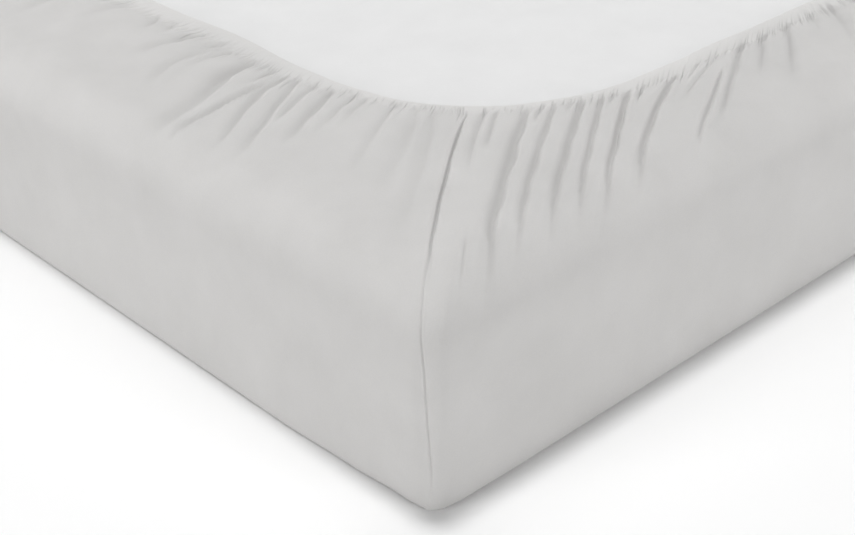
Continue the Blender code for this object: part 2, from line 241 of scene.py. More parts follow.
# Up to each place on the hem, the spacing of the columns, mm
NEAR_SPACING = ((-430, 2.6), (20, 2.1), (340, 1.5), (600, 2.6))
FAR_SPACING = ((600, 6.0),)
FOLDED_LINES = (-430, 330)   # mm; in front, every column between these goes round the edge
CORNER_COLUMNS = (-7, 3, 7, 11, 15, 20)      # mm, the lines of more columns at each corner
SEAM_CLEAR = 0.0007          # plain columns keep this far off the seam's
LEAST_SPACING = 0.0005
PANEL_SIDES = 12             # a face with more sides is the panel underneath
LAP = 0.1                    # a face that begins this near the first column may lie across it

# Each corner's signs in X and Y. A corner in between is a mirror image.
CORNERS = ((-1, -1, False), (1, -1, True), (1, 1, False), (-1, 1, True))

# ---------------------------------------- thread
STITCH_SPACING = 0.004
STITCH_END = 0.0013          # from a stitch's middle to where it meets the cloth
STITCH_HALF_SIZE = (0.0015, 0.00035, 0.00025)
STITCH_SINKS = 0.00005       # it lies this far below the cloth's face

# ---------------------------------------- looks
JERSEY_TONES = ((0.598, 0.590, 0.580), (0.678, 0.669, 0.660))    # darkest and lightest
TICKING_TONES = ((0.75, 0.75, 0.75), (0.815, 0.815, 0.815))
THREAD_TONES = ((0.655, 0.647, 0.638), (0.735, 0.727, 0.717))
DOUBLED_CASING_AND_LIGHT = (0.706, 0.698, 0.688)        # of the doubled cloth, lighter also as painted light on the raised casing
PAINTED_SHADE_TONE = 0.72               # colour of painted shade in folds and creases, as a share of the plain one
JERSEY_KNIT = (0.0011, 0.0008)       # width and height of one stitch of the knit
TICKING_KNIT = (0.0022, 0.0016)
KNIT_DEPTH = 0.0003
CLOUD_TONE, FIBRE_TONE, KNIT_TONE = 0.7, 0.35, 0.3       # each one's weight in the tone
TONE_RANGE = (0.45, 1.05)    # of their sum, from the darkest to the lightest
CLOTH_MAP = "cloth"          # UV map that the knit follows
PAINTED_FOLD_SHADE = "painted fold shade"    # attribute of the painted shade in folds, the seam's crease and gathers

# Knit and the finest gathers, in the material. A pair is a factor and what is
# added; past is the distance along the cloth past the stitch line.
KNIT_SLANT = 1.6             # lean of a stitch's legs
LOOP_HEIGHT = (0.25, 0.75)   # along the leg
KNIT_SHADE = (0.5, 0.5)      # painted shade between the stitches, by height
GATHER_SPACING = 0.006
GATHER_DEPTH = 0.0014
RIDGE_CHANGES = 28.0         # of a ridge on its way down, for each metre
RIDGE_HEIGHT = 2.6           # by noise
REACH_PITCH = 0.6            # by place along the hem, in spacings
RIDGE_REACH = (0.036, 0.004)         # by noise, past the casing
RIDGE_BEGINS = (140.0, 0.3)  # by past
RIDGE_LEAST = 0.22           # share of its height that it has on the casing
CREASE_PITCH = 1.8           # by place along the hem, in spacings
CREASE_CHANGES = 12.0        # of a crease on its way down, for each metre
CREASE_CUT = (-9.0, 4.1)     # only the lowest noise makes a crease
CREASE_REACH = (1.4, 0.002)  # by the ridge's reach
CREASE_NARROWS = 1.7         # towards its end
CREASE_BEGINS = (130.0, 1.1)         # by past
CREASE_DEPTH = 0.4           # as a share of a ridge's height
# painted shade of a fine crease, as a share of the full painted shade
CREASE_SHADE = 0.34
CASING_FADES = (-62.0, 0.875)        # by past; the casing's lighter colour, partly painted light, fades out a little way past the stitch line

# ---------------------------------------- stage
FLOOR_HALF_SIZE = 15.0
FLOOR_COLOUR = (0.97, 0.97, 0.97, 1.0)
STUDIO_LIGHT = 0.21          # strength of the even light from all round
LIGHTS = (                   # name, place, the point it faces, size, watts
    ("overhead", (-0.35, -0.24, 6.0), (-0.80, -1.00, 0.10), 0.9, 176.0),
    ("overhead behind", (0.7, 0.9, 5.5), (-0.80, -1.00, 0.10), 3.0, 55.0),
    ("long side in front", (-4.2, 0.1, 0.75), (-0.8, -0.1, 0.1), 1.4, 57.0),
    ("short side in front", (0.3, -4.4, 0.75), (0.1, -1.0, 0.1), 1.4, 51.0),
    ("long side behind", (4.2, 0.6, 0.75), (0.8, 0.5, 0.1), 1.4, 60.0),
    ("short side behind", (0.4, 4.4, 0.75), (0.3, 1.0, 0.1), 1.4, 60.0),
)
CAMERA_PLACE = (-1.4638, -1.6862, 0.7933)
CAMERA_DOWN = 30.5           # degrees below the horizon
CAMERA_HEADING = 43.8        # degrees from +Y towards +X
CAMERA_LENS = 63.16          # mm
CAMERA_SENSOR = 36.0         # mm wide


def smooth(share):
    share = np.clip(share, 0.0, 1.0)
    return share * share * (3.0 - 2.0 * share)


def between(start, end, share):
    return start + (end - start) * share


# ---------------------------------------- plan
def middle_of_side(half_side, inset, radius):
    """Distance from the corner's middle to the side's middle, along a line
    this far in that rounds the corner."""
    return half_side - inset - radius * (1.0 - math.pi / 4)


EDGE_MIDDLES = (-middle_of_side(HALF_LENGTH, 0.0, CORNER_RADIUS),
                middle_of_side(HALF_WIDTH, 0.0, CORNER_RADIUS))
HEM_MIDDLES = (-middle_of_side(HALF_LENGTH, HEM_INSET_SHORT, HEM_RADIUS),
               middle_of_side(HALF_WIDTH, HEM_INSET_LONG, HEM_RADIUS))
FAN_EDGE = np.array([EDGE_MIDDLES[0]] + [edge * MM for edge, _ in FAN] + [EDGE_MIDDLES[1]])
FAN_HEM = np.array([HEM_MIDDLES[0]] + [hem * MM for _, hem in FAN] + [HEM_MIDDLES[1]])


def hem_beside(edge_at):
    return np.interp(edge_at, FAN_EDGE, FAN_HEM)


def edge_beside(hem_at):
    return np.interp(hem_at, FAN_HEM, FAN_EDGE)


def rounded_corner(at, inset_long, inset_short, radius):
    """Points along a rounded corner, as distances from the mattress's short
    side and its long side."""
    half_arc = radius * math.pi / 4
    beyond = np.maximum(np.abs(at) - half_arc, 0.0)
    turn = math.pi / 4 + np.clip(at, -half_arc, half_arc) / radius
    from_short = inset_short + radius * (1.0 - np.sin(turn)) + np.where(at < 0, beyond, 0.0)
    from_long = inset_long + radius * (1.0 - np.cos(turn)) + np.where(at < 0, 0.0, beyond)
    return np.stack([from_short, from_long], axis=-1)


def from_table(at, table):
    """A value between a table's rows, on a smooth curve from row to row."""
    places, values = (np.array(part) * MM for part in zip(*table))
    row = np.interp(at, places, np.arange(len(places)))
    first = np.minimum(np.floor(row).astype(int), len(places) - 2)
    return between(values[first], values[first + 1], smooth(row - first))


def plan_lines(edge_at):
    """For each line: its hem point, its edge point, how far in the hem is
    there, and the length of its run up to the rounded edge."""
    hem_at = hem_beside(edge_at)
    further = from_table(hem_at, HEM_WANDERS)
    hem = rounded_corner(hem_at, HEM_INSET_LONG + further, HEM_INSET_SHORT + further, HEM_RADIUS)
    edge = rounded_corner(edge_at, 0.0, 0.0, CORNER_RADIUS)
    inset = hem.min(axis=-1)
    run = np.linalg.norm(edge - hem, axis=-1) * (1.0 - EDGE_RADIUS / inset)
    return hem, edge, inset, run


def cloth_point(corner, edge_at, way, off):
    """Points of the cloth's outer face, at this distance off the mattress."""
    hem, edge, inset, _ = plan_lines(edge_at)
    round_angle = np.clip(way - EDGE_WAY, 0.0, 1.0) * math.pi / 2
    floor_angle = np.clip(way - FLOOR_WAY, 0.0, 1.0) * math.pi / 2
    on_back = way <= EDGE_WAY
    rise = np.where(on_back, 0.0, EDGE_RADIUS + off)
    inset_here = np.where(on_back, inset - (inset - EDGE_RADIUS) * way,
                          EDGE_RADIUS - rise * np.sin(round_angle))
    inset_here += FLOOR_RADIUS * (1.0 - np.cos(floor_angle))
    inset_here += PANEL_BORDER * np.clip(way - UNDER_WAY, 0.0, 1.0)
    side_top = BACK - EDGE_RADIUS
    z = np.where(on_back, BACK + off, side_top + rise * np.cos(round_angle))
    down = np.clip(way - SIDE_WAY, 0.0, 1.0)
    z = np.where(way > SIDE_WAY, between(side_top, FLOOR_RADIUS, down), z)
    z = np.where(way > FLOOR_WAY, FLOOR_RADIUS * (1.0 - np.sin(floor_angle)), z)
    share = 1.0 - inset_here / inset
    plan = hem + (edge - hem) * share[..., None]
    sign_x, sign_y, _ = corner
    return np.stack([sign_x * (HALF_WIDTH - plan[..., 1]),
                     sign_y * (HALF_LENGTH - plan[..., 0]), z], axis=-1)


# ---------------------------------------- heights
def corner_folds(index, chance):
    """The folds of one corner. The first corner, in front, has them as listed."""
    if index == 0:
        return FOLDS
    folds = []
    for fold in FOLDS:
        off = chance.uniform(-SHIFT, SHIFT)
        reach = chance.uniform(*REACHES)
        folds.append(fold._replace(
            start_at=fold.start_at + off, middle_at=fold.middle_at + off,
            end_at=fold.end_at + off, end=max(fold.end * reach, fold.middle + LEAST_END),
            depth=fold.depth * chance.uniform(*DEPTHS)))
    return folds


def corner_gathers(index, chance):
    """Fine gathers below the casing: place on the hem, half-width, depth, length."""
    step, width = NEAR_GATHERS if index == 0 else FAR_GATHERS
    shortest, longest = GATHER_LENGTHS
    gathers = []
    at = HEM_MIDDLES[0] / MM + step[0]
    while at < HEM_MIDDLES[1] / MM - step[0]:
        depth = chance.uniform(*GATHER_DEPTHS) ** GATHER_POWER
        gathers.append((at * MM, chance.uniform(*width) * MM, depth * DEEPEST_GATHER * MM,
                        chance.uniform(shortest, longest + DEEPEST_LONGER * depth) * MM))
        at += chance.uniform(*step)
    return gathers


def folds_and_gathers(index):
    """One corner's, the same each time that they are asked for."""
    chance = random.Random(FIRST_SEED + index)
    return corner_folds(index, chance), corner_gathers(index, chance)


def gathered(hem_at, out, gathers):
    """How far the fine gathers draw the cloth in."""
    total = np.zeros_like(out)
    on_casing = ON_CASING * smooth(out / GATHER_BEGINS)
    below = smooth((out - STITCH_LINE) / GATHER_DEEPENS)
    for at, width, depth, length in gathers:
        near = np.flatnonzero(np.abs(hem_at[0] - at) < GATHER_SPAN * width)
        if len(near) == 0:
            continue
        across = np.exp(-((hem_at[:, near] - at) / width) ** 2)
        along = on_casing[:, near] * (1.0 - below[:, near]) + below[:, near] * (
            1.0 - smooth((out[:, near] - STITCH_LINE) / (length + GATHER_FADES)))
        total[:, near] += depth * across * along
    return total


def fold_centre(fold, way):
    """The line that a fold is on, on a smooth curve through its three places."""
    a, b, c = fold.start, fold.middle, fold.end
    way = np.clip(way, a, c)
    curve = (fold.start_at * (way - b) * (way - c) / ((a - b) * (a - c))
             + fold.middle_at * (way - a) * (way - c) / ((b - a) * (b - c))
             + fold.end_at * (way - a) * (way - b) / ((c - a) * (c - b)))
    uneven = (np.sin(LONG_WAVE * way + fold.start_at)
              + 0.5 * np.sin(SHORT_WAVE * way + fold.end_at))
    return MM * (curve + FOLD_WAVERS * uneven)


def slope(share):
    """A straight slope with rounded ends."""
    return 0.6 * np.clip(share, 0.0, 1.0) + 0.4 * smooth(share)


def folded(fold, centre, edge_at, hem_at, way, share):
    """How far one fold draws the cloth in, and the painted shade of its trough:
    a shaded slope, then a steep wall, with a low crest beside each."""
    along = (way - fold.start) / (fold.end - fold.start)
    strength = smooth(along / FOLD_SETS_IN) * (1.0 - np.clip(along, 0.0, 1.0) ** 3)
    width = fold.width * MM * between(FIRST_WIDTH, 1.0, smooth(along / FOLD_WIDENS))
    width *= 1.0 + FOLD_UNEVEN * np.sin(WIDTH_WAVE * way + 2.0 * fold.start_at)
    wall = WALL * width * (1.0 + WALL_EASES * np.clip(along, 0.0, 1.0) ** 3)
    aside = between(hem_at - hem_beside(centre), edge_at - centre, share)
    past = aside - width / 2
    trough = np.where(past < 0.0, slope(past / width + 1.0), 1.0 - slope(past / wall))
    before, before_width = SLOPE_CREST
    beyond, beyond_width = WALL_CREST
    crests = (np.exp(-((past + before * width) / (before_width * width)) ** 2)
              + np.exp(-((past - beyond * wall) / (beyond_width * wall)) ** 2))
    shade = min(fold.depth / FULL_SHADE, 1.0) * strength * smooth(trough / SHADE_FROM)
    return fold.depth * MM * strength * (trough - CREST * crests), shade


def seam_at(way):
    return np.interp(way, [w for w, _ in SEAM], [at * MM for _, at in SEAM])


def cloth_off(edge_at, way, out, folds, gathers):
    """How far the cloth's outer face is off the mattress, and the painted shade
    of its folds, seam crease and gathers.
    """
    hem_at = hem_beside(edge_at)
    hem, edge, _, run = plan_lines(edge_at)
    share = np.clip(way * run / np.linalg.norm(edge - hem, axis=-1), 0.0, 1.0)
    share = np.where(way > EDGE_WAY, 1.0, share)
    stitch_off = CASING_SECTION[-1][1] * MM
    off = between(stitch_off, PUFF, smooth((out - STITCH_LINE) / PUFF_RUN) ** PUFF_RISES)
    off += (EDGE_OFF - PUFF) * smooth((way - SETTLE_FROM) / (EDGE_WAY - SETTLE_FROM))
    off += (SIDE_OFF - EDGE_OFF) * smooth(way - EDGE_WAY)
    flared = np.clip((way - SIDE_WAY) / FLARE_RUN, 0.0, 1.0) ** FLARE
    off += from_table(edge_at, BULGE) * flared
    drawn = gathered(hem_at, out, gathers)
    # painted shade: fine gathers, folds and the seam's crease darken the colour
    shade = GATHER_SHADE * drawn / (FULL_SHADE * MM)
    ramp = between(FOLD_LEAST, 1.0, smooth((out - STITCH_LINE) / FOLD_RAMP))
    for fold in folds:
        deeper, shaded = folded(fold, fold_centre(fold, way), edge_at, hem_at, way, share)
        drawn += ramp * deeper
        shade = np.maximum(shade, shaded)
    seam = seam_at(way)
    deeper, shaded = folded(SEAM_FOLD, seam, edge_at, hem_at, way, share)
    drawn += ramp * deeper
    shade = np.maximum(shade, SEAM_SHADE * shaded)
    half, depth = SEAM_GROOVE
    begins, deepens = GROOVE_BEGINS
    ends, fades = GROOVE_ENDS
    groove = np.exp(-((edge_at - seam) / half) ** 2) * smooth((way - begins) / deepens)
    drawn += depth * groove * (1.0 - smooth((way - ends) / fades))
    return np.maximum(off - drawn, LEAST_OFF), shade


# ---------------------------------------- cloth rows
def casing_widens(edge_line):
    """How much wider than its drawn section the casing is, on each line and
    along it. A line that crosses the hem at a slant is longer on the casing."""
    hem, edge, _, _ = plan_lines(edge_line)
    along_hem = plan_lines(edge_line + MM)[0] - plan_lines(edge_line - MM)[0]
    line = edge - hem
    square = np.abs(along_hem[:, 0] * line[:, 1] - along_hem[:, 1] * line[:, 0])
    square /= np.linalg.norm(along_hem, axis=-1) * np.linalg.norm(line, axis=-1)
    return from_table(hem_beside(edge_line), CASING_WIDTH) / square - STITCH_LINE


def row_places(edge_line, folds, gathers):
    """For every row and column of one corner: line, way, distance off, painted shade."""
    _, _, _, full_run = plan_lines(edge_line)
    wider = casing_widens(edge_line)
    run = full_run - wider
    outs = [np.full_like(run, out * MM) for out, _ in CASING_SECTION]
    outs += [np.full_like(run, out * MM) for out in BELOW_CASING]
    start = BELOW_CASING[-1] * MM
    outs += [start + (run - start) * step / BACK_STEPS for step in range(1, BACK_STEPS + 1)]
    out = np.array(outs)
    way = (out + wider * np.clip(out / STITCH_LINE, 0.0, 1.0)) / full_run
    beyond = [EDGE_WAY + step / EDGE_STEPS for step in range(1, EDGE_STEPS + 1)]
    beyond += SIDE_WAYS + FLOOR_WAYS
    way = np.concatenate([way, np.repeat(np.array(beyond)[:, None], len(run), axis=1)])
    out = np.concatenate([out, way[len(outs):] * full_run - wider])
    near_seam = np.exp(-((edge_line - SEAM_LINE * MM) / SEAM_PULLS) ** 2)
    edge_at = edge_line + (seam_at(way) - SEAM_LINE * MM) * near_seam
    off, shade = cloth_off(edge_at, way, out, folds, gathers)
    for row, (_, height) in enumerate(CASING_SECTION):
        ripple = gathered(hem_beside(edge_at[row:row + 1]), out[row:row + 1], gathers)[0]
        off[row] = height * MM - np.where(row > HEM_EDGE_ROW, ripple, 0.0)
        shade[row] = 0.0
    return edge_at, way, off, shade


def corner_columns(index):
    """Lines of one corner's columns, and the last row that each one goes to.
    Every fourth one goes all the way, every second one round the edge, and
    the others only over the hem and its fine gathers."""
    limits, passed = [HEM_MIDDLES[0]], [0.0]
    for limit, spacing in NEAR_SPACING if index == 0 else FAR_SPACING:
        limits.append(min(limit * MM, HEM_MIDDLES[1]))
        passed.append(passed[-1] + (limits[-1] - limits[-2]) / (spacing * MM))
    count = 4 * round(passed[-1] / 4)
    numbers = (np.arange(count) + 0.5) * passed[-1] / count
    lines = edge_beside(np.interp(numbers, passed, limits))
    low, high = (limit * MM for limit in FOLDED_LINES)
    seam = [(SEAM_LINE + off) * MM for off in SEAM_COLUMNS]
    columns = [(line, LAST_ROW) for line in seam]
    columns += [(at * MM, LAST_ROW) for at in CORNER_COLUMNS]
    for number, line in enumerate(lines):
        if min(abs(float(line) - other) for other in seam) <= SEAM_CLEAR:
            continue
        if number % 4 == 0:
            last = LAST_ROW
        elif number % 2 == 0 or (index == 0 and low < line < high):
            last = LAST_FOLDED
        else:
            last = HEM_ROWS - 1
        columns.append((float(line), last))
    columns.sort()
    spaced = columns[:1]
    for column in columns[1:]:
        if column[0] - spaced[-1][0] > LEAST_SPACING:
            spaced.append(column)
    return spaced


def cloth_columns():
    """Places and painted shades of all rows and columns once round, each
    column's last row and its distance along the edge, and the whole edge's length."""
    places, shades, lasts, around = [], [], [], []
    passed = 0.0
    for index, corner in enumerate(CORNERS):
        columns = corner_columns(index)
        edge_line = np.array([line for line, _ in columns])
        last = [row for _, row in columns]
        edge_at, way, off, shade = row_places(edge_line, *folds_and_gathers(index))
        part = cloth_point(corner, edge_at, way, off)
        length = edge_line - EDGE_MIDDLES[0]
        if corner[2]:
            # The mirror image runs the other way round, from its short side.
            part, shade, last = part[:, ::-1], shade[:, ::-1], last[::-1]
            length = EDGE_MIDDLES[1] - edge_line[::-1]
        places.append(part)
        shades.append(shade)
        lasts += last
        around.append(length + passed)
        passed += EDGE_MIDDLES[1] - EDGE_MIDDLES[0]
    return (np.concatenate(places, axis=1), np.concatenate(shades, axis=1), lasts,
            np.concatenate(around), passed)


# ---------------------------------------- pieces
def add_object(name, data):
    thing = bpy.data.objects.new(name, data)
    bpy.context.scene.collection.objects.link(thing)
    return thing


def add_mesh(name, mesh, material):
    data = bpy.data.meshes.new(name)
    mesh.to_mesh(data)
    mesh.free()
    data.materials.append(material)
    return add_object(name, data)


def finish_piece(name, mesh, material):
    piece = add_mesh(name, mesh, material)
    piece.data.shade_smooth()
    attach(piece, "root")
    return piece


def lay_out_knit(cloth, places, around, full_turn, column, row_number):
    """UV map in metres: along the edge, and down the cloth from the hem's edge.
    The panel underneath is laid out by itself."""
    steps = np.linalg.norm(np.diff(places, axis=0), axis=2)
    steps[:len(CASING_STEPS)] = np.array(CASING_STEPS)[:, None]
    down = np.concatenate([np.zeros((1, places.shape[1])), np.cumsum(steps, axis=0)])
    down -= down[HEM_EDGE_ROW]
    uv = cloth.loops.layers.uv.new(CLOTH_MAP)
    for face in cloth.faces:
        if len(face.verts) > PANEL_SIDES:
            for loop in face.loops:
                loop[uv].uv = loop.vert.co.xy
            continue
        first = min(around[loop.vert[column]] for loop in face.loops)
        for loop in face.loops:
            at = around[loop.vert[column]]
            if first < LAP and at > full_turn / 2:
                at -= full_turn
            loop[uv].uv = (at, down[loop.vert[row_number], loop.vert[column]])


def build_cloth(material):
    """The cloth's outer face, made row by row from the turned-in hem out over
    the edge, down the side and under. Solidify gives it its thickness."""
    places, shades, lasts, around, full_turn = cloth_columns()
    cloth = bmesh.new()
    column = cloth.verts.layers.int.new("column")
    row_number = cloth.verts.layers.int.new("row")
    shade = cloth.verts.layers.float.new(PAINTED_FOLD_SHADE)
    ring = bmesh.ops.create_circle(cloth, segments=len(lasts), radius=1.0)["verts"]
    for index, vert in enumerate(ring):
        vert[column] = index
        vert.co = places[0, index]
    rim = list(cloth.edges)
    for row in range(1, LAST_ROW + 1):
        made = bmesh.ops.extrude_edge_only(cloth, edges=rim)["geom"]
        made = [part for part in made if isinstance(part, bmesh.types.BMVert)]
        kept, ended = [], []
        for vert in made:
            vert[row_number] = row
            vert.co = places[row, vert[column]]
            (kept if lasts[vert[column]] >= row else ended).append(vert)
        if ended:
            bmesh.ops.dissolve_verts(cloth, verts=ended)
        # Each edge once, in the same order on each run.
        rim = list(dict.fromkeys(
            edge for vert in kept for edge in vert.link_edges if edge.is_boundary))
    bmesh.ops.edgeloop_fill(cloth, edges=rim)
    bmesh.ops.recalc_face_normals(cloth, faces=cloth.faces)
    # painted shade of the folds, seam crease and gathers, for the material
    for vert in cloth.verts:
        vert[shade] = float(shades[vert[row_number], vert[column]])
    lay_out_knit(cloth, places, around, full_turn, column, row_number)
    piece = finish_piece("jersey_sheet", cloth, material)
    thickness = piece.modifiers.new("cloth thickness", "SOLIDIFY")
    thickness.thickness = CLOTH_THICKNESS
    thickness.offset = -1.0
    return piece


def build_stitches(material):
    """Short thread stitches along the seam that closes the casing."""
    one = bmesh.new()
    bmesh.ops.create_uvsphere(one, u_segments=6, v_segments=4, radius=1.0,
                              matrix=Matrix.Diagonal((*STITCH_HALF_SIZE, 1.0)))
    shape = bpy.data.meshes.new("one stitch")
    one.to_mesh(shape)
    one.free()
    stitches = bmesh.new()
    for index, corner in enumerate(CORNERS):
        _, gathers = folds_and_gathers(index)
        count = int((HEM_MIDDLES[1] - HEM_MIDDLES[0]) / STITCH_SPACING)
        middles = np.linspace(*HEM_MIDDLES, count + 1)[:-1] + STITCH_SPACING / 2
        ends = []
        for off in (-STITCH_END, STITCH_END):
            edge_at = edge_beside(middles + off)
            _, _, _, run = plan_lines(edge_at)
            way = ((STITCH_LINE + casing_widens(edge_at)) / run)[None, :]
            height = CASING_SECTION[-1][1] * MM - gathered(
                hem_beside(edge_at)[None, :], np.full_like(way, STITCH_LINE), gathers)
            ends.append(cloth_point(corner, edge_at[None, :], way, height - STITCH_SINKS)[0])
        for start, end in zip(*ends):
            start, end = Vector(start), Vector(end)
            turn = (end - start).to_track_quat("X", "Z").to_matrix().to_4x4()
            place = Matrix.Translation((start + end) / 2) @ turn
            shape.transform(place)
            stitches.from_mesh(shape)
            shape.transform(place.inverted())
    bpy.data.meshes.remove(shape)
    return finish_piece("hem_stitches", stitches, material)


def back_swell(x, y):
    """Height of the back over its plain level, nothing under the sheet."""
    to_side = (HALF_WIDTH - HEM_INSET_LONG - abs(x)) / SWELL_RUN
    to_end = (HALF_LENGTH - HEM_INSET_SHORT - abs(y)) / SWELL_RUN
    inside = float(smooth(min(to_side, to_end)))
    uneven = (math.sin(9.1 * x + 2.3 * y + 0.5) * math.sin(7.7 * y - 3.1 * x + 1.1)
              + 0.5 * math.sin(19.0 * x - 13.0 * y) * math.sin(17.0 * y + 8.0 * x + 2.0))
    return inside * (BACK_CROWN + BACK_UNEVEN * uneven)


def build_mattress(material):
    """A soft block with rounded corners and edges. Its back, which is up,
    swells a little inside the hem and is gently uneven."""
    mattress = bmesh.new()
    size = Vector((2 * HALF_WIDTH, 2 * HALF_LENGTH, BACK - MATTRESS_LOW.z))
    middle = Vector((0.0, 0.0, (BACK + MATTRESS_LOW.z) / 2))
    bmesh.ops.create_cube(mattress, size=1.0,
                          matrix=Matrix.Translation(middle) @ Matrix.Diagonal((*size, 1.0)))
    upright = [edge for edge in mattress.edges
               if abs(edge.verts[0].co.z - edge.verts[1].co.z) > size.z / 2]
    bmesh.ops.bevel(mattress, geom=upright, offset=MATTRESS_CORNER, segments=CORNER_SEGMENTS,
                    affect="EDGES", profile=0.5, material=-1)
    for level, radius, segments in ((BACK, EDGE_RADIUS, EDGE_SEGMENTS),
                                    (MATTRESS_LOW.z, UNDERSIDE_RADIUS, UNDERSIDE_SEGMENTS)):
        loop = [edge for edge in mattress.edges
                if all(abs(vert.co.z - level) < 1e-6 for vert in edge.verts)]
        bmesh.ops.bevel(mattress, geom=loop, offset=radius, segments=segments,
                        affect="EDGES", profile=0.5, material=-1)
    for axis, half in ((0, HALF_WIDTH), (1, HALF_LENGTH)):
        normal = Vector((0.0, 0.0, 0.0))
        normal[axis] = 1.0
        inside = half - MATTRESS_CORNER - GRID_MARGIN
        for at in np.linspace(-inside, inside, int(2 * inside / MATTRESS_GRID)):
            bmesh.ops.bisect_plane(
                mattress, geom=mattress.verts[:] + mattress.edges[:] + mattress.faces[:],
                plane_co=normal * at, plane_no=normal)
    for vert in mattress.verts:
        if vert.co.z > BACK - 1e-5:
            vert.co.z += back_swell(vert.co.x, vert.co.y)
        else:
            low = float(smooth(1.0 - vert.co.z / (BACK - EDGE_RADIUS)))
            vert.co.x *= 1.0 + low * MATTRESS_BULGE / HALF_WIDTH
            vert.co.y *= 1.0 + low * MATTRESS_BULGE / HALF_LENGTH
    bmesh.ops.recalc_face_normals(mattress, faces=mattress.faces)
    return finish_piece("mattress_body", mattress, material)


# ---------------------------------------- nodes
def new_group(name, inputs, outputs):
    group = bpy.data.node_groups.new(name, "ShaderNodeTree")
    for socket, kind, value in inputs:
        made = group.interface.new_socket(socket, in_out="INPUT", socket_type=kind)
        if value is not None:
            made.default_value = value
    for socket in outputs:
        group.interface.new_socket(socket, in_out="OUTPUT", socket_type="NodeSocketFloat")
    return group, group.nodes.new("NodeGroupInput"), group.nodes.new("NodeGroupOutput")


def math_node(tree, operation, *values, clamp=False):
    """A Math node whose inputs are numbers or other nodes' outputs."""
    node = tree.nodes.new("ShaderNodeMath")
    node.operation = operation
    node.use_clamp = clamp
    for socket, value in zip(node.inputs, values):
        if isinstance(value, (int, float)):
            socket.default_value = value
        else:
            tree.links.new(value, socket)
    return node.outputs[0]


def set_inputs(node, **values):
    """Values for a node's inputs, each by its name with _ for a space."""
    for name, value in values.items():
        node.inputs[name.replace("_", " ")].default_value = value


def noise_node(tree, place, detail):
    node = tree.nodes.new("ShaderNodeTexNoise")
    set_inputs(node, Scale=1.0, Detail=detail, Roughness=0.55)
    tree.links.new(place, node.inputs["Vector"])
    return node.outputs["Fac"]


def flat_noise(tree, detail, x, y=None):
    """Noise over one number or two."""
    point = tree.nodes.new("ShaderNodeCombineXYZ")
    tree.links.new(x, point.inputs["X"])
    if y is not None:
        tree.links.new(y, point.inputs["Y"])
    return noise_node(tree, point.outputs[0], detail)


def mix_node(tree, factor, first, second, blend="MIX"):
    """A mix of two colours, each one a tuple or another node's output."""
    node = tree.nodes.new("ShaderNodeMix")
    node.data_type = "RGBA"
    node.blend_type = blend
    tree.links.new(factor, node.inputs["Factor"])
    for name, colour in (("A", first), ("B", second)):
        if isinstance(colour, tuple):
            node.inputs[name].default_value = (*colour, 1.0)
        else:
            tree.links.new(colour, node.inputs[name])
    return node.outputs["Result"]


def bump_node(tree, height, strength, depth):
    node = tree.nodes.new("ShaderNodeBump")
    set_inputs(node, Strength=strength, Distance=depth)
    tree.links.new(height, node.inputs["Height"])
    return node


def add_group(tree, group, place, **values):
    node = tree.nodes.new("ShaderNodeGroup")
    node.node_tree = group
    tree.links.new(place, node.inputs["Place"])
    set_inputs(node, **values)
    return node


# ---------------------------------------- node groups
def knit_group():
    """Plain knit: rows of small V stitches. Height 0 to 1, and the same as a
    painted shade that is darker between the stitches."""
    group, start, end = new_group(
        "plain knit",
        [("Place", "NodeSocketVector", None), ("Wale", "NodeSocketFloat", 0.001),
         ("Course", "NodeSocketFloat", 0.0008)],
        ["Height", "Shade"])
    calc = partial(math_node, group)
    split = group.nodes.new("ShaderNodeSeparateXYZ")
    group.links.new(start.outputs["Place"], split.inputs[0])
    across = calc("DIVIDE", split.outputs["X"], start.outputs["Wale"])
    along = calc("DIVIDE", split.outputs["Y"], start.outputs["Course"])
    place_in_wale = calc("SUBTRACT", calc("FRACT", across), 0.5)
    from_middle = calc("ABSOLUTE", place_in_wale)
    leg = calc("SINE", calc("MULTIPLY", from_middle, 2 * math.pi))
    slant = calc("MULTIPLY", from_middle, KNIT_SLANT)
    slanted = calc("ADD", along, slant)
    loop = calc("SINE", calc("MULTIPLY", slanted, 2 * math.pi))
    loop = calc("MULTIPLY_ADD", loop, *LOOP_HEIGHT)
    height = calc("MULTIPLY", leg, loop, clamp=True)
    group.links.new(height, end.inputs["Height"])
    shade = calc("MULTIPLY_ADD", height, *KNIT_SHADE)
    group.links.new(shade, end.inputs["Shade"])
    return group


def mottle_group():
    """Soft cloudy difference in tone, and the finer one of single fibres."""
    group, start, end = new_group(
        "cloth mottle",
        [("Place", "NodeSocketVector", None), ("Cloud Size", "NodeSocketFloat", 0.08),
         ("Fibre Size", "NodeSocketFloat", 0.0015)],
        ["Cloud", "Fibre"])
    calc = partial(math_node, group)
    for size, detail, output in (("Cloud Size", 3.0, "Cloud"), ("Fibre Size", 2.0, "Fibre")):
        scaled = group.nodes.new("ShaderNodeVectorMath")
        scaled.operation = "SCALE"
        group.links.new(start.outputs["Place"], scaled.inputs[0])
        group.links.new(calc("DIVIDE", 1.0, start.outputs[size]), scaled.inputs["Scale"])
        group.links.new(noise_node(group, scaled.outputs[0], detail), end.inputs[output])
    return group


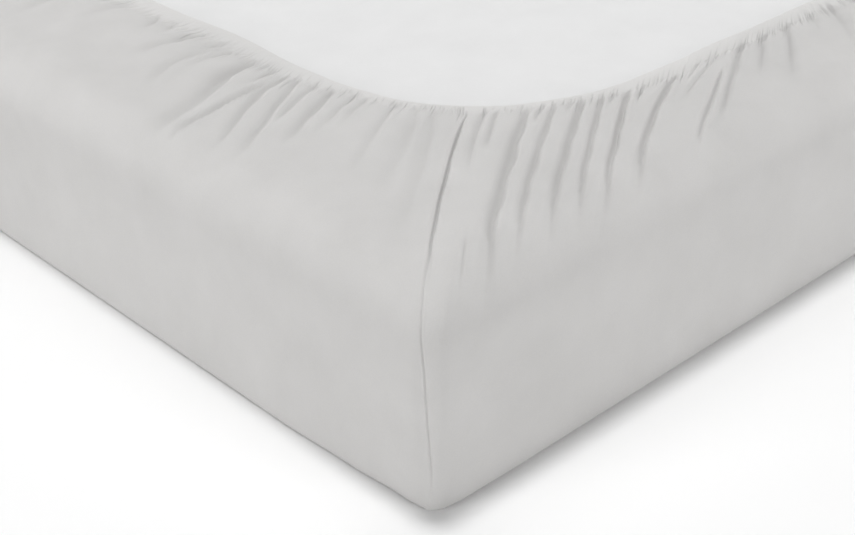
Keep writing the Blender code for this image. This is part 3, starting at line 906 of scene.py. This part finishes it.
def gathers_group():
    """The finest gathers that the elastic makes: ridges across the hem, on the
    casing and a little way below it, with short creases between them, which
    also carry painted shade. Also where the casing is, whose lighter colour
    is doubled cloth and painted light."""
    group, start, end = new_group(
        "fine gathers",
        [("Place", "NodeSocketVector", None), ("Spacing", "NodeSocketFloat", GATHER_SPACING)],
        ["Height", "Crease", "Casing And Light"])
    calc = partial(math_node, group)
    split = group.nodes.new("ShaderNodeSeparateXYZ")
    group.links.new(start.outputs["Place"], split.inputs[0])
    along = calc("DIVIDE", split.outputs["X"], start.outputs["Spacing"])
    down = split.outputs["Y"]
    past = calc("SUBTRACT", down, CASING_CLOTH)

    ridges = flat_noise(group, 1.5, along, calc("MULTIPLY", down, RIDGE_CHANGES))
    ridges = calc("MULTIPLY", calc("SUBTRACT", ridges, 0.5), RIDGE_HEIGHT)
    reach = flat_noise(group, 1.0, calc("MULTIPLY", along, REACH_PITCH))
    reach = calc("MULTIPLY_ADD", reach, *RIDGE_REACH)
    fade = calc("SUBTRACT", 1.0, calc("DIVIDE", past, reach), clamp=True)
    begin = calc("MULTIPLY_ADD", past, *RIDGE_BEGINS, clamp=True)
    begin = calc("MAXIMUM", begin, RIDGE_LEAST)
    height = calc("MULTIPLY", calc("MULTIPLY", ridges, fade), begin)

    # Short creases from the stitch line out, each narrower towards its end.
    crease = flat_noise(group, 0.5, calc("MULTIPLY", along, CREASE_PITCH),
                        calc("MULTIPLY", down, CREASE_CHANGES))
    crease = calc("MULTIPLY_ADD", crease, *CREASE_CUT)
    gone = calc("MULTIPLY_ADD", reach, *CREASE_REACH)
    gone = calc("MAXIMUM", calc("DIVIDE", past, gone), 0.0)
    crease = calc("SUBTRACT", crease, calc("MULTIPLY", gone, CREASE_NARROWS), clamp=True)
    begin = calc("MULTIPLY_ADD", past, *CREASE_BEGINS, clamp=True)
    crease = calc("MULTIPLY", crease, begin)
    group.links.new(crease, end.inputs["Crease"])
    height = calc("MULTIPLY_ADD", crease, -CREASE_DEPTH, height)
    group.links.new(height, end.inputs["Height"])
    # where the casing's lighter colour goes: doubled cloth, and painted light
    casing = calc("MULTIPLY_ADD", past, *CASING_FADES, clamp=True)
    group.links.new(casing, end.inputs["Casing And Light"])
    return group


# ---------------------------------------- materials
def plain_material(name, **values):
    material = bpy.data.materials.new(name)
    material.use_nodes = True
    shader = material.node_tree.nodes["Principled BSDF"]
    set_inputs(shader, **values)
    return material, material.node_tree, shader


def hem_look(tree, groups, place, colour):
    """Colour of the cloth with its doubled casing, lighter also as painted light,
    and painted shade in its folds and creases, and the normal of its finest
    gathers."""
    gathers = add_group(tree, groups["gathers"], place)
    # the casing's lighter colour: doubled cloth, and painted light on the raised casing
    colour = mix_node(tree, gathers.outputs["Casing And Light"], colour, DOUBLED_CASING_AND_LIGHT)
    fold_shade = tree.nodes.new("ShaderNodeAttribute")
    fold_shade.attribute_name = PAINTED_FOLD_SHADE
    # painted shade: darker colour in folds, the seam's crease, gathers and fine creases
    creased = math_node(tree, "MULTIPLY", gathers.outputs["Crease"], CREASE_SHADE)
    painted_shade = math_node(tree, "MAXIMUM", fold_shade.outputs["Fac"], creased)
    colour = mix_node(tree, painted_shade, colour, (PAINTED_SHADE_TONE, PAINTED_SHADE_TONE, PAINTED_SHADE_TONE), "MULTIPLY")
    ridges = bump_node(tree, gathers.outputs["Height"], 1.0, GATHER_DEPTH)
    return colour, ridges.outputs["Normal"]


def cloth_material(name, tones, knit, groups, sheen, gathered_hem=False):
    """Knitted cloth: stitches and fibres in its bump, and in its colour a soft
    mottle, the fibres and a painted shade between the stitches. On the sheet,
    with its gathered hem, the knit follows the UV map."""
    material, tree, shader = plain_material(name, Roughness=0.9, Specular_IOR_Level=0.2,
                                            Sheen_Weight=sheen, Sheen_Roughness=0.5)
    solid = tree.nodes.new("ShaderNodeTexCoord").outputs["Object"]
    place = solid
    if gathered_hem:
        map_node = tree.nodes.new("ShaderNodeUVMap")
        map_node.uv_map = CLOTH_MAP
        place = map_node.outputs["UV"]
    wale, course = knit
    stitches = add_group(tree, groups["knit"], place, Wale=wale, Course=course)
    mottle = add_group(tree, groups["mottle"], solid, Cloud_Size=0.07, Fibre_Size=0.0014)
    tone = math_node(tree, "MULTIPLY", mottle.outputs["Cloud"], CLOUD_TONE)
    tone = math_node(tree, "MULTIPLY_ADD", mottle.outputs["Fibre"], FIBRE_TONE, tone)
    # painted shade between the stitches
    tone = math_node(tree, "MULTIPLY_ADD", stitches.outputs["Shade"], KNIT_TONE, tone)
    ramp = tree.nodes.new("ShaderNodeMapRange")
    set_inputs(ramp, From_Min=TONE_RANGE[0], From_Max=TONE_RANGE[1])
    tree.links.new(tone, ramp.inputs["Value"])
    colour = mix_node(tree, ramp.outputs["Result"], *tones)
    height = math_node(tree, "MULTIPLY_ADD", mottle.outputs["Fibre"], 0.5,
                       stitches.outputs["Height"])
    bump = bump_node(tree, height, 0.5, KNIT_DEPTH)
    if gathered_hem:
        colour, normal = hem_look(tree, groups, place, colour)
        tree.links.new(normal, bump.inputs["Normal"])
    tree.links.new(colour, shader.inputs["Base Color"])
    tree.links.new(bump.outputs["Normal"], shader.inputs["Normal"])
    return material


def thread_material(groups):
    material, tree, shader = plain_material("sewing thread", Roughness=0.7, Sheen_Weight=0.15)
    solid = tree.nodes.new("ShaderNodeTexCoord").outputs["Object"]
    mottle = add_group(tree, groups["mottle"], solid, Cloud_Size=0.05, Fibre_Size=0.0004)
    colour = mix_node(tree, mottle.outputs["Fibre"], *THREAD_TONES)
    tree.links.new(colour, shader.inputs["Base Color"])
    return material


# ---------------------------------------- stage
def add_light(name, place, target, size, power):
    light = bpy.data.lights.new(name, "AREA")
    light.shape = "SQUARE"
    light.size = size
    light.energy = power
    thing = add_object(name, light)
    thing.location = place
    aim = Vector(target) - Vector(place)
    thing.rotation_euler = aim.to_track_quat("-Z", "Y").to_euler()


def build_stage():
    """A plain pale floor and soft light."""
    floor = bmesh.new()
    bmesh.ops.create_grid(floor, x_segments=2, y_segments=2, size=FLOOR_HALF_SIZE)
    material, _, _ = plain_material("pale floor", Roughness=0.9, Base_Color=FLOOR_COLOUR)
    add_mesh("floor", floor, material)
    world = bpy.data.worlds.new("studio")
    bpy.context.scene.world = world
    world.use_nodes = True
    set_inputs(world.node_tree.nodes["Background"], Color=(1.0, 1.0, 1.0, 1.0),
               Strength=STUDIO_LIGHT)
    for light in LIGHTS:
        add_light(*light)


def build_camera():
    data = bpy.data.cameras.new("camera")
    data.lens = CAMERA_LENS
    data.sensor_width = CAMERA_SENSOR
    camera = add_object("camera", data)
    down, heading = math.radians(CAMERA_DOWN), math.radians(CAMERA_HEADING)
    camera.location = CAMERA_PLACE
    camera.rotation_euler = (math.pi / 2 - down, 0.0, -heading)
    bpy.context.scene.camera = camera


# ---------------------------------------- all of it
def main():
    build_camera()
    build_stage()
    bpy.context.scene.view_settings.view_transform = "Standard"
    groups = {"knit": knit_group(), "mottle": mottle_group(), "gathers": gathers_group()}
    jersey = cloth_material("grey jersey", JERSEY_TONES, JERSEY_KNIT, groups, sheen=0.2,
                            gathered_hem=True)
    ticking = cloth_material("white mattress knit", TICKING_TONES, TICKING_KNIT, groups,
                             sheen=0.1)
    sheet = build_cloth(jersey)
    stitches = build_stitches(thread_material(groups))
    mattress = build_mattress(ticking)
    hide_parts("fitted_sheet")
    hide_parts("mattress")


main()
